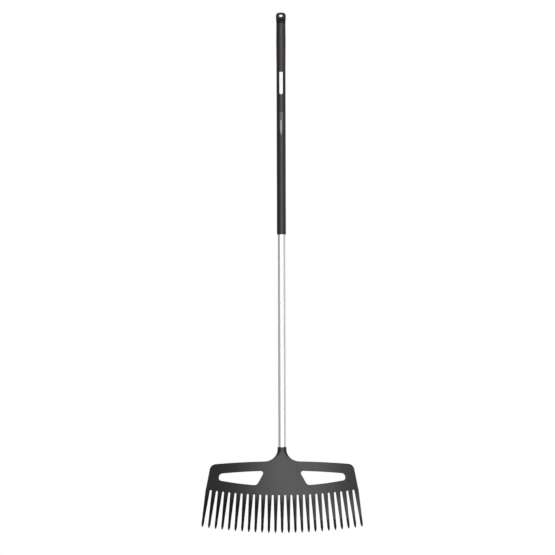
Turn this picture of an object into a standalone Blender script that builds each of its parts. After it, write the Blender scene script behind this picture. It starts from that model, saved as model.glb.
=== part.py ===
"""Long-handled leaf rake: a one-piece plastic head with 25 tines on an aluminium tube.

The rake stands upright. The handle's axis is +Z, the head's width runs along X, and
the smooth face of the head looks towards -Y. The origin is the middle of the hanging hole.
"""

import math

import bmesh
import bpy
from mathutils import Matrix, Vector

# ---------------------------------------------------------------- driving dimensions, metres

GAP = 0.0003  # clearance between touching pieces
TURN_STEPS = 40  # sides of every round piece

# heights along the handle, measured down from the hanging hole
CAP_TOP = 0.0100
CAP_BOTTOM = -0.0242
GRIP_BOTTOM = -0.7156
SOCKET_RIM = -1.4103
SOCKET_FLOOR = -1.4973
SOCKET_BOTTOM = -1.5010

# handle
TUBE_RADIUS = 0.0125
TUBE_WALL = 0.0012
GRIP_BORE = TUBE_RADIUS + 0.00025
GRIP_RADIUS = 0.0149
CAP_RADIUS = 0.0162
CHEEK_Y = 0.0105  # the end cap's flat cheeks stand this far from the axis

# hanging hole: a slot with round ends, wider than it is high
HOLE_WIDTH = 0.0105
HOLE_HEIGHT = 0.0070
HOLE_MIDDLE = -0.0009  # a 5 mm nail at the origin bears on the slot's top
LINER_WALL = 0.0020

# sticker on the grip
LABEL_TOP = -0.1843
LABEL_BOTTOM = -0.2572
LABEL_WIDTH = 0.0112
LABEL_THICKNESS = 0.00025
LABEL_RADIUS = 0.01530

# head
TINES = 25
FAN_HALF_ANGLE = math.radians(8.91)  # the outer tines' lean; all tines point at the origin
BOW_RADIUS = 0.52  # the head is bowed about an upright axis behind it
FACE_Y = -0.0151  # the head's smooth face at its middle
SHEET = 0.0036  # thickness of the plate and the tines
ROOT_ARC_RADIUS = 1.84  # arc through the tops of the gaps between tines
ROOT_ARC_BOTTOM = -1.5668
TIP_ARC_RADIUS = 1.92  # arc through the tine tips
TIP_ARC_BOTTOM = -1.6932
TINE_HALF_ROOT = 0.0074
TINE_HALF_TIP = 0.0043
TINE_TAPER_LENGTH = 0.095
TINE_POINT_LENGTH = 0.012
# how far the tines lean back at distances past their roots: swept, then bent at a knee
TINE_BENDS = [(0.0, 0.0), (0.035, 15.0), (0.083, 22.0), (0.090, 46.0)]  # metres, degrees

PLATE_CREST = -1.4566  # top edge at its middle
PLATE_TOP_RADIUS = 2.38
PLATE_CORNER = (0.2338, -1.4685)
PLATE_SIDE = (0.2491, -1.5459)
WINDOW_TOP_CREST = -1.4874
WINDOW_TOP_RADIUS = 1.98
WINDOW_BOTTOM_CREST = -1.5382
WINDOW_BOTTOM_RADIUS = 1.144
WINDOW_INNER_TOP = 0.0568
WINDOW_INNER_BOTTOM = 0.0826
WINDOW_OUTER = 0.2066

RIM_WIDTH = 0.0030  # ribs on the back of the plate
RIM_DEPTH = 0.0080
RIM_FOOT = -0.0050  # the rim's lower edge, past the tine roots
TINE_RIB_HALF = 0.0013
TINE_RIB_LENGTH = 0.100

NECK_RADIUS = 0.0151
SOCKET_RADIUS = 0.01485
SOCKET_BORE = 0.0128
FLARE_TOP = -1.4195  # the neck flares into the plate along a quarter ellipse
FLARE_WIDTH = 0.045
FLARE_HEIGHT = 0.038
NECK_WALL = 0.0024

SCREW_HEIGHTS = {"head_screw_upper": -1.4400, "head_screw_lower": -1.4800}
BOSS_RADIUS = 0.0068
BOSS_FACE_Y = 0.0178
SCREW_SEAT_Y = 0.0150
SCREW_HEAD_RADIUS = 0.0040
SCREW_HEAD_HEIGHT = 0.0024
SCREW_RADIUS = 0.00165
SCREW_TIP_Y = -0.0020
SCREW_HOLE_RADIUS = 0.00195

# ---------------------------------------------------------------- scene and materials


def clear_scene():
    for old in list(bpy.data.objects):
        bpy.data.objects.remove(old, do_unlink=True)


def new_collection(name):
    made = bpy.data.collections.new(name)
    bpy.context.scene.collection.children.link(made)
    return made


def new_material(name, colour, roughness, metallic=0.0):
    made = bpy.data.materials.new(name)
    made.use_nodes = True
    shader = made.node_tree.nodes["Principled BSDF"]
    shader.inputs["Base Color"].default_value = (*colour, 1.0)
    shader.inputs["Roughness"].default_value = roughness
    shader.inputs["Metallic"].default_value = metallic
    return made


def new_object(name, mesh, group, material=None):
    made = bpy.data.objects.new(name, mesh)
    group.objects.link(made)
    if material:
        mesh.materials.append(material)
    return made


def hide(cutter):
    cutter.hide_render = True
    cutter.display_type = "WIRE"
    return cutter


def combine(target, other, operation, many_bodies=False):
    """Adds a Boolean; many_bodies is for another object that holds several bodies."""
    step = target.modifiers.new(operation.lower(), "BOOLEAN")
    step.operation = operation
    step.solver = "EXACT"
    step.use_self = many_bodies
    step.object = other
    return target


# ---------------------------------------------------------------- shape helpers


def turned(name, profile, group, material=None, closed=True):
    """Turns a profile of (radius, height) about Z. A closed one is a ring of any section."""
    mesh = bpy.data.meshes.new(name)
    points = [(radius, 0.0, height) for radius, height in profile]
    edges = [(i, i + 1) for i in range(len(points) - 1)]
    if closed:
        edges.append((len(points) - 1, 0))
    mesh.from_pydata(points, edges, [])
    made = new_object(name, mesh, group, material)
    screw = made.modifiers.new("turn", "SCREW")
    screw.steps = TURN_STEPS
    screw.render_steps = TURN_STEPS
    screw.use_merge_vertices = True
    screw.merge_threshold = 0.00001
    screw.use_smooth_shade = True
    return made


def cylinder_along_y(name, radius, y_low, y_high, height, group, sides=32):
    """A plain round bar along Y at the given height on the handle's axis."""
    mesh = bpy.data.meshes.new(name)
    shape = bmesh.new()
    place = Matrix.Translation((0.0, (y_low + y_high) / 2, height)) @ Matrix.Rotation(
        math.pi / 2, 4, "X"
    )
    bmesh.ops.create_cone(
        shape,
        cap_ends=True,
        segments=sides,
        radius1=radius,
        radius2=radius,
        depth=y_high - y_low,
        matrix=place,
    )
    shape.to_mesh(mesh)
    shape.free()
    return new_object(name, mesh, group)


def prism(name, loops, low, high, group, material=None, along="Y"):
    """Fills flat outlines, with any inner ones as holes, and gives them a thickness.

    Points are (x, z) for a prism along Y, and (y, z) for one along X.
    """
    curve = bpy.data.curves.new(name, "CURVE")
    curve.dimensions = "2D"
    curve.fill_mode = "BOTH"
    curve.extrude = (high - low) / 2
    for loop in loops:
        spline = curve.splines.new("POLY")
        spline.points.add(len(loop) - 1)
        for point, (across, up) in zip(spline.points, loop):
            point.co = (across, up, 0.0, 1.0)
        spline.use_cyclic_u = True
    outline = bpy.data.objects.new(name, curve)
    group.objects.link(outline)
    bpy.context.view_layer.update()
    mesh = bpy.data.meshes.new_from_object(
        outline.evaluated_get(bpy.context.evaluated_depsgraph_get())
    )
    bpy.data.objects.remove(outline, do_unlink=True)
    middle = (low + high) / 2
    if along == "Y":
        place = Matrix(((1, 0, 0, 0), (0, 0, -1, middle), (0, 1, 0, 0), (0, 0, 0, 1)))
    else:
        place = Matrix(((0, 0, 1, middle), (1, 0, 0, 0), (0, 1, 0, 0), (0, 0, 0, 1)))
    shape = bmesh.new()
    shape.from_mesh(mesh)
    shape.transform(place)
    bmesh.ops.remove_doubles(shape, verts=shape.verts, dist=0.000001)
    bmesh.ops.recalc_face_normals(shape, faces=shape.faces)
    shape.to_mesh(mesh)
    shape.free()
    return new_object(name, mesh, group, material)


def loft(name, rings, group):
    """Joins closed rings of equally many points with quads, and caps both ends."""
    shape = bmesh.new()
    rows = [[shape.verts.new(point) for point in ring] for ring in rings]
    count = len(rings[0])
    for upper, lower in zip(rows, rows[1:]):
        for i in range(count):
            j = (i + 1) % count
            shape.faces.new((upper[i], upper[j], lower[j], lower[i]))
    shape.faces.new(rows[0])
    shape.faces.new(rows[-1])
    bmesh.ops.recalc_face_normals(shape, faces=shape.faces)
    bmesh.ops.triangulate(shape, faces=shape.faces)
    mesh = bpy.data.meshes.new(name)
    shape.to_mesh(mesh)
    shape.free()
    return new_object(name, mesh, group)


def rounded(corners, steps=5):
    """An outline through corners (x, z, radius), each turned with a round of its radius."""
    points = []
    for i, (x, z, radius) in enumerate(corners):
        here = Vector((x, z))
        if radius <= 0.0:
            points.append((x, z))
            continue
        back = Vector(corners[i - 1][:2]) - here
        ahead = Vector(corners[(i + 1) % len(corners)][:2]) - here
        half = back.angle(ahead) / 2
        towards = (back.normalized() + ahead.normalized()).normalized()
        centre = here + towards * radius / math.sin(half)
        first = here + back.normalized() * radius / math.tan(half) - centre
        last = here + ahead.normalized() * radius / math.tan(half) - centre
        sweep = first.angle_signed(last)
        for step in range(steps + 1):
            turn = Matrix.Rotation(-sweep * step / steps, 2)
            spot = centre + turn @ first
            points.append((spot.x, spot.y))
    return points


def inset(points, distance):
    """The same outline moved inwards, for one that runs anticlockwise."""
    moved = []
    for i, point in enumerate(points):
        here = Vector(point)
        before = (here - Vector(points[i - 1])).normalized()
        after = (Vector(points[(i + 1) % len(points)]) - here).normalized()
        across = Vector((-before.y - after.y, before.x + after.x)).normalized()
        shrink = max(across.dot(Vector((-before.y, before.x))), 0.3)
        spot = here + across * distance / shrink
        moved.append((spot.x, spot.y))
    return moved


# ---------------------------------------------------------------- the head's surfaces and fan


def arc_distance(angle, bottom, radius):
    """How far along a ray of the fan an arc lies whose lowest point is at x = 0."""
    centre = bottom + radius
    reach = radius**2 - (centre * math.sin(angle)) ** 2
    return math.sqrt(reach) - centre * math.cos(angle)


def fan_point(angle, past_root, across=0.0):
    """(x, z) of a place below the tine roots, on a ray of the fan or beside it."""
    reach = arc_distance(angle, ROOT_ARC_BOTTOM, ROOT_ARC_RADIUS) + past_root
    return (
        reach * math.sin(angle) + across * math.cos(angle),
        -reach * math.cos(angle) + across * math.sin(angle),
    )


def tine_length(angle):
    tip = arc_distance(angle, TIP_ARC_BOTTOM, TIP_ARC_RADIUS)
    return tip - arc_distance(angle, ROOT_ARC_BOTTOM, ROOT_ARC_RADIUS)


def arc_rise(run, start, end):
    """How far an arc rises over a run when its slope turns from one angle to another."""
    radius = run / (math.sin(end) - math.sin(start))
    return radius * (math.cos(start) - math.cos(end))


def tine_lean(past_root):
    """How far behind the plate a tine lies, along the arcs between its bends."""
    lean = 0.0
    for (start, low), (end, high) in zip(TINE_BENDS, TINE_BENDS[1:]):
        run = min(max(past_root - start, 0.0), end - start)
        if run > 0.0:
            first = math.sin(math.radians(low))
            last = math.sin(math.radians(high))
            reached = math.asin(first + (last - first) * run / (end - start))
            lean += arc_rise(run, math.radians(low), reached)
    end, high = TINE_BENDS[-1]
    return lean + max(past_root - end, 0.0) * math.tan(math.radians(high))


def bow(x):
    return x * x / (2 * BOW_RADIUS)


def tine_angle(index):
    return FAN_HALF_ANGLE * (2 * index / (TINES - 1) - 1)


def tine_half_width(past_root):
    share = min(past_root / TINE_TAPER_LENGTH, 1.0)
    return TINE_HALF_ROOT + (TINE_HALF_TIP - TINE_HALF_ROOT) * share


# ---------------------------------------------------------------- head


def slab(name, front, back, group):
    """A solid that follows the head's curved face, wider and longer than the head itself.

    front and back give its two faces' distances behind the smooth face, for a distance
    past the tine roots. Its columns run between the tines, so each tine stays plain.
    """
    half_pitch = FAN_HALF_ANGLE / (TINES - 1)
    angles = [tine_angle(i) + half_pitch for i in range(-2, TINES + 1)]
    root, swept, knee, tip = [distance for distance, _ in TINE_BENDS]
    sweep = [root + (swept - root) * step / 3 for step in range(4)]
    stations = [-0.125, *sweep, knee, (knee + tip) / 2, tip, 0.135]

    def place(angle, past_root, behind):
        x, z = fan_point(angle, past_root)
        return x, FACE_Y + bow(x) + tine_lean(past_root) + behind, z

    rings = []
    for angle in angles:
        ring = [place(angle, s, front(s)) for s in stations]
        ring += [place(angle, s, back(s)) for s in reversed(stations)]
        rings.append(ring)
    return hide(loft(name, rings, group))


def arch(x_start, x_end, crest, radius, upward=False, steps=7):
    """Points along a shallow arc whose crest, or lowest point if upward, is at x = 0."""
    sign = 1.0 if upward else -1.0
    spots = [x_start + (x_end - x_start) * i / steps for i in range(steps + 1)]
    return [(x, crest + sign * (radius - math.sqrt(radius**2 - x * x))) for x in spots]


def head_outline(bottom):
    """The front view of the plate above the given lower edge, anticlockwise.

    bottom is that edge from left to right, as corners (x, z, radius).
    """
    x_top = PLATE_CORNER[0] - 0.020
    top = arch(x_top, -x_top, PLATE_CREST, PLATE_TOP_RADIUS, steps=12)
    x, z = PLATE_CORNER
    corners = [(across, up, 0.0) for across, up in top]
    corners += [(-x, z, 0.022), *bottom, (x, z, 0.022)]
    return rounded(corners)


def comb_outline():
    """The plate with its tines."""
    x, z = PLATE_SIDE
    tines = [(*point, 0.0) for index in range(TINES) for point in tine_points(index)]
    return head_outline([(-x, z, 0.120), *tines, (x, z, 0.120)])


def field_outline():
    """The plate's thin field, inside the rim on its back."""
    foot = [(*fan_point(tine_angle(index), RIM_FOOT), 0.0) for index in range(TINES)]
    first = (*fan_point(tine_angle(0), RIM_FOOT, -TINE_HALF_ROOT), 0.0030)
    last = (*fan_point(tine_angle(TINES - 1), RIM_FOOT, TINE_HALF_ROOT), 0.0030)
    return inset(head_outline([first, *foot[1:-1], last]), RIM_WIDTH)


def rib_outline():
    """Everything above the rim's foot and past the plate's edges, with the tines' ribs."""
    beyond = 2 * tine_angle(0) - tine_angle(2)
    points = [(0.29, -1.44), (-0.29, -1.44), fan_point(beyond, RIM_FOOT)]
    for index in range(TINES):
        points += rib_points(index)
    return [*points, fan_point(-beyond, RIM_FOOT)]


def tine_points(index):
    """A tine's outline down one side, round its blunt point, up the other, and the gap."""
    angle = tine_angle(index)
    pitch = 2 * FAN_HALF_ANGLE / (TINES - 1)
    root = arc_distance(angle, ROOT_ARC_BOTTOM, ROOT_ARC_RADIUS)
    gap = pitch * root / 2 - TINE_HALF_ROOT
    length = tine_length(angle)
    shoulder = length - TINE_POINT_LENGTH
    side = [
        (gap, tine_half_width(gap)),
        (TINE_TAPER_LENGTH, TINE_HALF_TIP),
        (shoulder, TINE_HALF_TIP * 0.94),
        (length - 0.0045, TINE_HALF_TIP * 0.74),
        (length - 0.0012, TINE_HALF_TIP * 0.46),
    ]
    points = [fan_point(angle, along, -half) for along, half in side]
    points.append(fan_point(angle, length))
    points += [fan_point(angle, along, half) for along, half in reversed(side)]
    if index < TINES - 1:
        middle = angle + pitch / 2
        for step in range(1, 5):
            turn = math.pi * step / 5
            points.append(
                fan_point(middle, gap - gap * math.sin(turn), -gap * math.cos(turn))
            )
    return points


def rib_points(index):
    """A tine's rib, a narrow tooth below the plate's rim."""
    angle = tine_angle(index)
    side = [(RIM_FOOT, TINE_RIB_HALF), (TINE_RIB_LENGTH, TINE_RIB_HALF * 0.7)]
    points = [fan_point(angle, along, -half) for along, half in side]
    return points + [fan_point(angle, along, half) for along, half in reversed(side)]


def window_outline(side):
    """One of the two windows, anticlockwise; side is +1 for the right and -1 for the left."""
    drop = WINDOW_OUTER**2 / (2 * WINDOW_TOP_RADIUS)
    rise = WINDOW_OUTER**2 / (2 * WINDOW_BOTTOM_RADIUS)
    top = arch(0.185, 0.075, WINDOW_TOP_CREST, WINDOW_TOP_RADIUS, steps=4)
    bottom = arch(
        0.104, 0.188, WINDOW_BOTTOM_CREST, WINDOW_BOTTOM_RADIUS, upward=True, steps=4
    )
    corners = [(WINDOW_OUTER, WINDOW_TOP_CREST - drop, 0.0135)]
    corners += [(x, z, 0.0) for x, z in top]
    corners.append((WINDOW_INNER_TOP, WINDOW_TOP_CREST - 0.0008, 0.007))
    corners.append((WINDOW_INNER_BOTTOM, WINDOW_BOTTOM_CREST + 0.0030, 0.015))
    corners += [(x, z, 0.0) for x, z in bottom]
    corners.append((WINDOW_OUTER, WINDOW_BOTTOM_CREST + rise, 0.0080))
    points = rounded(corners)
    if side < 0:
        points = [(-x, z) for x, z in reversed(points)]
    return points


def flare_half_width(z):
    """Half the neck's width at a height, along its quarter-ellipse flare."""
    drop = min(max(FLARE_TOP - z, 0.0) / FLARE_HEIGHT, 1.0)
    return NECK_RADIUS + FLARE_WIDTH * (1.0 - math.sqrt(1.0 - drop * drop))


def neck_ring(z, sink):
    """A section of the neck: round in front at the top, and a flat-faced channel below."""
    share = min(max((FLARE_TOP - z) / FLARE_HEIGHT, 0.0), 1.0)
    share = share * share * (3.0 - 2.0 * share)
    half = flare_half_width(z)
    flange = -0.0065 * share

    def wall(half_width, face, edge_radius):
        ends = []
        for side in (-1, 1):
            for step in range(6):
                turn = math.pi / 2 * step / 5
                out = side * (half_width - edge_radius * (1.0 - math.cos(turn)))
                ends.append((out, face + edge_radius * (1.0 - math.sin(turn))))
        left, right = ends[:6], list(reversed(ends[6:]))
        flat = half_width - edge_radius
        middle = [(flat * share_x, face) for share_x in (-0.5, 0.0, 0.5)]
        return [(-half_width, flange), *left, *middle, *right, (half_width, flange)]

    edge_radius = min(NECK_RADIUS + (0.0030 - NECK_RADIUS) * share, half - 0.0010)
    outer = wall(half, -NECK_RADIUS + sink, edge_radius)
    inner_radius = max(edge_radius - NECK_WALL, 0.0008)
    inner = wall(half - NECK_WALL, -NECK_RADIUS + NECK_WALL + sink, inner_radius)
    return [(x, y + bow(x), z) for x, y in outer + list(reversed(inner))]


def neck(group):
    depths = [0.0, 0.006, 0.012, 0.018, 0.023, 0.028, 0.032, 0.035, 0.0374]
    rings = [neck_ring(FLARE_TOP - depth, 0.0) for depth in depths]
    rings.append(neck_ring(PLATE_CREST - 0.0030, 0.0012))
    return hide(loft("neck_shell", rings, group))


def socket(group):
    profile = [
        (0.0, SOCKET_RIM),
        (SOCKET_RADIUS - 0.0010, SOCKET_RIM),
        (SOCKET_RADIUS, SOCKET_RIM - 0.0010),
        (SOCKET_RADIUS, SOCKET_BOTTOM + 0.0030),
        (SOCKET_RADIUS - 0.0030, SOCKET_BOTTOM),
        (0.0, SOCKET_BOTTOM),
    ]
    return hide(turned("socket_wall", profile, group, closed=False))


def screw_bosses(group):
    return [
        hide(cylinder_along_y(f"boss_{i}", BOSS_RADIUS, 0.009, BOSS_FACE_Y, z, group))
        for i, z in enumerate(SCREW_HEIGHTS.values())
    ]


def screw_holes(name, radius, y_low, y_high, group):
    return [
        hide(cylinder_along_y(f"{name}_{i}", radius, y_low, y_high, z, group, sides=20))
        for i, z in enumerate(SCREW_HEIGHTS.values())
    ]


def keel(group):
    """The upright web below the socket, deep at the socket and shallow at the tines."""
    face = FACE_Y + 0.0015
    profile = [
        (face, -1.4990),
        (face, -1.5610),
        (FACE_Y + RIM_DEPTH - 0.0003, -1.5610),
        (0.0100, -1.4990),
    ]
    return hide(prism("keel", [profile], -0.0015, 0.0015, group, along="X"))


def slanted_ribs(group):
    """A rib from the socket's foot to the rim on each side, between window and tines."""
    line = [(0.006, -1.4960), (0.0860, -1.5580), (0.0840, -1.5600), (0.004, -1.4985)]
    return [
        hide(prism(name, [[(side * x, z) for x, z in line]], -0.04, 0.14, group))
        for name, side in (("slanted_rib_left", -1), ("slanted_rib_right", 1))
    ]


def rake_head(group, cutters, material):
    """The moulding: a curved sheet cut to the comb's outline, ribbed behind, with a neck."""
    windows = [window_outline(1), window_outline(-1)]
    frames = [inset(window, -RIM_WIDTH) for window in windows]
    comb = prism("comb_outline", [comb_outline(), *windows], -0.05, 0.15, cutters)
    rib_loops = [rib_outline(), field_outline(), *frames]
    ribs = prism("rib_outline", rib_loops, -0.05, 0.15, cutters)
    for slanted in slanted_ribs(cutters):
        combine(ribs, slanted, "UNION")

    def rib_depth(past_root):
        share = min(max(past_root / TINE_RIB_LENGTH, 0.0), 1.0)
        return RIM_DEPTH - share * 0.0035

    rib_slab = slab("rib_slab", lambda s: 0.0015, rib_depth, cutters)
    combine(rib_slab, hide(ribs), "INTERSECT", many_bodies=True)
    head = slab("rake_head", lambda s: 0.0, lambda s: SHEET, group)
    head.hide_render = False
    head.display_type = "TEXTURED"
    head.data.materials.append(material)
    combine(head, rib_slab, "UNION", many_bodies=True)
    combine(head, hide(comb), "INTERSECT")
    combine(head, neck(cutters), "UNION")
    combine(head, socket(cutters), "UNION")
    for piece in [*screw_bosses(cutters), keel(cutters)]:
        combine(head, piece, "UNION")
    bore = [
        (0.0, SOCKET_RIM + 0.005),
        (SOCKET_BORE, SOCKET_RIM + 0.005),
        (SOCKET_BORE, SOCKET_FLOOR),
        (0.0, SOCKET_FLOOR),
    ]
    combine(head, hide(turned("socket_bore", bore, cutters, closed=False)), "DIFFERENCE")
    holes = screw_holes("boss_hole", SCREW_HOLE_RADIUS, 0.006, 0.020, cutters)
    holes += screw_holes(
        "boss_seat", SCREW_HEAD_RADIUS + 0.0005, SCREW_SEAT_Y, 0.020, cutters
    )
    for hole in holes:
        combine(head, hole, "DIFFERENCE")
    return head


# ---------------------------------------------------------------- handle


def shaft_tube(group, cutters, material):
    top = CAP_BOTTOM - GAP
    bottom = SOCKET_FLOOR + 0.0024
    inner = TUBE_RADIUS - TUBE_WALL
    profile = [(TUBE_RADIUS, top), (TUBE_RADIUS, bottom), (inner, bottom), (inner, top)]
    tube = turned("shaft_tube", profile, group, material)
    for hole in screw_holes("tube_hole", SCREW_HOLE_RADIUS, 0.008, 0.014, cutters):
        combine(tube, hole, "DIFFERENCE")
    return tube


def shaft_plug(group, cutters, material):
    """A plug in the tube's foot, with a flange under the tube's end and two grooves."""
    inside = TUBE_RADIUS - TUBE_WALL - 0.00025
    flange_top = SOCKET_FLOOR + 0.0021
    profile = [
        (0.0, -1.4240),
        (inside - 0.0015, -1.4240),
        (inside, -1.4255),
        (inside, -1.4510),
        (inside - 0.0012, -1.4522),
        (inside - 0.0012, -1.4580),
        (inside, -1.4592),
        (inside, flange_top),
        (TUBE_RADIUS - 0.0001, flange_top),
        (TUBE_RADIUS - 0.0001, SOCKET_FLOOR + GAP),
        (0.0, SOCKET_FLOOR + GAP),
    ]
    plug = turned("shaft_plug", profile, group, material, closed=False)
    for hole in screw_holes("pilot_hole", SCREW_HOLE_RADIUS, -0.004, 0.014, cutters):
        combine(plug, hole, "DIFFERENCE")
    return plug


def recess_slot(name, top, turn, group):
    """One bar of a screw's cross recess, cut down from the top of its head."""
    mesh = bpy.data.meshes.new(name)
    shape = bmesh.new()
    size = Matrix.Diagonal((0.0048, 0.0011, 0.0030, 1.0))
    place = Matrix.Translation((0.0, 0.0, top)) @ Matrix.Rotation(turn, 4, "Z")
    bmesh.ops.create_cube(shape, size=1.0, matrix=place @ size)
    shape.to_mesh(mesh)
    shape.free()
    return hide(new_object(name, mesh, group))


def head_screws(group, cutters, material):
    """Pan-head screws that enter the socket's back, go through the tube and into the plug."""
    seat = SCREW_SEAT_Y + 0.0002
    top = seat + SCREW_HEAD_HEIGHT
    for name, height in SCREW_HEIGHTS.items():
        profile = [
            (0.0, top),
            (SCREW_HEAD_RADIUS * 0.72, top),
            (SCREW_HEAD_RADIUS, top - 0.0011),
            (SCREW_HEAD_RADIUS, seat),
            (SCREW_RADIUS, seat),
            (SCREW_RADIUS, SCREW_TIP_Y + 0.0025),
            (0.0, SCREW_TIP_Y),
        ]
        screw = turned(name, profile, group, material, closed=False)
        screw.modifiers["turn"].steps = 24
        screw.modifiers["turn"].render_steps = 24
        for turn in (0.0, math.pi / 2):
            slot = recess_slot(f"{name}_slot", top, turn, cutters)
            slot.parent = screw
            combine(screw, slot, "DIFFERENCE")
        screw.rotation_euler = (-math.pi / 2, 0.0, 0.0)
        screw.location = (0.0, 0.0, height)


def grip_sleeve(group, material):
    """A thin sleeve, fuller under the end cap and again at its lower end."""
    top = CAP_BOTTOM - GAP
    outside = [
        (0.01515, top),
        (0.01540, -0.0450),
        (0.01560, -0.0750),
        (0.01560, -0.1120),
        (0.01530, -0.1450),
        (0.01500, -0.1700),
        (GRIP_RADIUS, -0.2600),
        (GRIP_RADIUS, -0.4500),
        (0.01475, -0.6300),
        (0.01490, -0.6600),
        (0.01490, GRIP_BOTTOM + 0.0010),
        (0.01450, GRIP_BOTTOM),
    ]
    profile = [*outside, (GRIP_BORE, GRIP_BOTTOM), (GRIP_BORE, top)]
    return turned("grip_sleeve", profile, group, material)


def care_label(group, cutters, material):
    """A blank sticker bent round the grip's front, square above and round below."""
    inside = LABEL_RADIUS
    outside = inside + LABEL_THICKNESS
    profile = [
        (outside, LABEL_TOP + 0.01),
        (outside, LABEL_BOTTOM - 0.01),
        (inside, LABEL_BOTTOM - 0.01),
        (inside, LABEL_TOP + 0.01),
    ]
    label = turned("care_label", profile, group, material)
    half = LABEL_WIDTH / 2
    corners = [
        (-half, LABEL_TOP, 0.0006),
        (-half, LABEL_BOTTOM, half * 0.98),
        (half, LABEL_BOTTOM, half * 0.98),
        (half, LABEL_TOP, 0.0006),
    ]
    outline = prism("label_outline", [rounded(corners)], -0.02, 0.0, cutters)
    return combine(label, hide(outline), "INTERSECT")


def stadium(width, height, steps=10):
    """The hanging slot's outline, with round ends, anticlockwise."""
    radius = height / 2
    run = (width - height) / 2
    points = []
    for side, start in ((1, -math.pi / 2), (-1, math.pi / 2)):
        for step in range(steps + 1):
            turn = start + math.pi * step / steps
            across, up = side * run + radius * math.cos(turn), radius * math.sin(turn)
            points.append((across, HOLE_MIDDLE + up))
    return points


def hang_eyelet(group, material):
    outer = stadium(HOLE_WIDTH + 2 * LINER_WALL, HOLE_HEIGHT + 2 * LINER_WALL)
    inner = stadium(HOLE_WIDTH, HOLE_HEIGHT)
    reach = CHEEK_Y + 0.0003
    return prism("hang_eyelet", [outer, inner], -reach, reach, group, material)


def end_cap(group, cutters, material):
    """A domed cap with flat cheeks round the hanging hole, on a barbed hollow spigot."""
    spigot = TUBE_RADIUS - TUBE_WALL - 0.0006
    barb = TUBE_RADIUS - TUBE_WALL - 0.00025
    dome = [
        (0.0, CAP_TOP),
        (0.0060, CAP_TOP - 0.0003),
        (0.0105, CAP_TOP - 0.0014),
        (0.0135, CAP_TOP - 0.0034),
        (0.0154, CAP_TOP - 0.0062),
        (CAP_RADIUS - 0.0001, CAP_TOP - 0.0090),
        (CAP_RADIUS, -0.0040),
        (0.0158, -0.0100),
        (0.0153, CAP_BOTTOM + 0.0006),
        (0.0149, CAP_BOTTOM),
    ]
    barbs = []
    for height in (-0.034, -0.046, -0.058):
        barbs += [(spigot, height), (barb, height - 0.0004), (spigot, height - 0.0045)]
    foot = [(spigot, -0.0740), (spigot - 0.0022, -0.0740), (spigot - 0.0022, -0.0230)]
    profile = [*dome, (spigot, CAP_BOTTOM), *barbs, *foot, (0.0, -0.0230)]
    cap = turned("end_cap", profile, group, material, closed=False)
    for side in (-1, 1):
        cheek = [
            (side * CHEEK_Y, 0.012),
            (side * CHEEK_Y, -0.0125),
            (side * 0.018, -0.0200),
            (side * 0.018, 0.012),
        ]
        cutter = prism(f"cheek_cut_{side}", [cheek], -0.02, 0.02, cutters, along="X")
        combine(cap, hide(cutter), "DIFFERENCE")
    room = 2 * LINER_WALL + 2 * GAP
    slot = stadium(HOLE_WIDTH + room, HOLE_HEIGHT + room)
    cutter = prism("hang_slot", [slot], -0.02, 0.02, cutters)
    return combine(cap, hide(cutter), "DIFFERENCE")


# ---------------------------------------------------------------- assembly


def main():
    clear_scene()
    rake = new_collection("leaf_rake")
    cutters = new_collection("cutters")
    black = new_material("head_plastic", (0.018, 0.018, 0.019), 0.42)
    grip = new_material("grip_plastic", (0.016, 0.016, 0.017), 0.50)
    cap = new_material("cap_plastic", (0.014, 0.014, 0.015), 0.45)
    orange = new_material("accent_plastic", (0.55, 0.16, 0.02), 0.45)
    aluminium = new_material("aluminium", (0.80, 0.81, 0.82), 0.28, 1.0)
    white = new_material("label_film", (0.82, 0.82, 0.80), 0.40)
    nylon = new_material("plug_plastic", (0.30, 0.30, 0.30), 0.55)
    steel = new_material("screw_steel", (0.55, 0.55, 0.56), 0.32, 1.0)

    rake_head(rake, cutters, black)
    shaft_tube(rake, cutters, aluminium)
    shaft_plug(rake, cutters, nylon)
    head_screws(rake, cutters, steel)
    grip_sleeve(rake, grip)
    care_label(rake, cutters, white)
    end_cap(rake, cutters, cap)
    hang_eyelet(rake, orange)


main()
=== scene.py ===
"""Leaf rake: fine surfaces, materials, studio and camera over the fixed frame."""

import math

import bmesh
import bpy
import numpy as np
from mathutils import Matrix, Vector
from mathutils.geometry import delaunay_2d_cdt


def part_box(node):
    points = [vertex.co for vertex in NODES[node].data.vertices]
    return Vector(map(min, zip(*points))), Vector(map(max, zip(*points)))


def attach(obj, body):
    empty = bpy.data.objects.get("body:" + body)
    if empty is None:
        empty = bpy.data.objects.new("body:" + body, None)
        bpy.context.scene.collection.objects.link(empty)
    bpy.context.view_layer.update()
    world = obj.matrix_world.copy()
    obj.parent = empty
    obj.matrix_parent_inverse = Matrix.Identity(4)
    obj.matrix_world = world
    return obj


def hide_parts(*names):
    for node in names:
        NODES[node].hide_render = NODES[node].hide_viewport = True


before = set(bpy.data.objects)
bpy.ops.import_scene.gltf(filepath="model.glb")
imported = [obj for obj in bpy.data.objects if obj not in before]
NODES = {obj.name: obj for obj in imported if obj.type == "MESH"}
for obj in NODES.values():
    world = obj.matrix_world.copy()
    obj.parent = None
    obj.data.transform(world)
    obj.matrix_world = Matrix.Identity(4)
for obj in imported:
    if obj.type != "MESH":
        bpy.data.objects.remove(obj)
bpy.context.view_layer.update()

# ---------------------------------------------------------------- sizes, metres

CAP_LOW, CAP_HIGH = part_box("end_cap")
GRIP_LOW, GRIP_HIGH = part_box("grip_sleeve")
TUBE_LOW, TUBE_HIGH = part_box("shaft_tube")
LABEL_LOW, LABEL_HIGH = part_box("care_label")
HEAD_LOW, HEAD_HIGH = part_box("rake_head")

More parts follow.
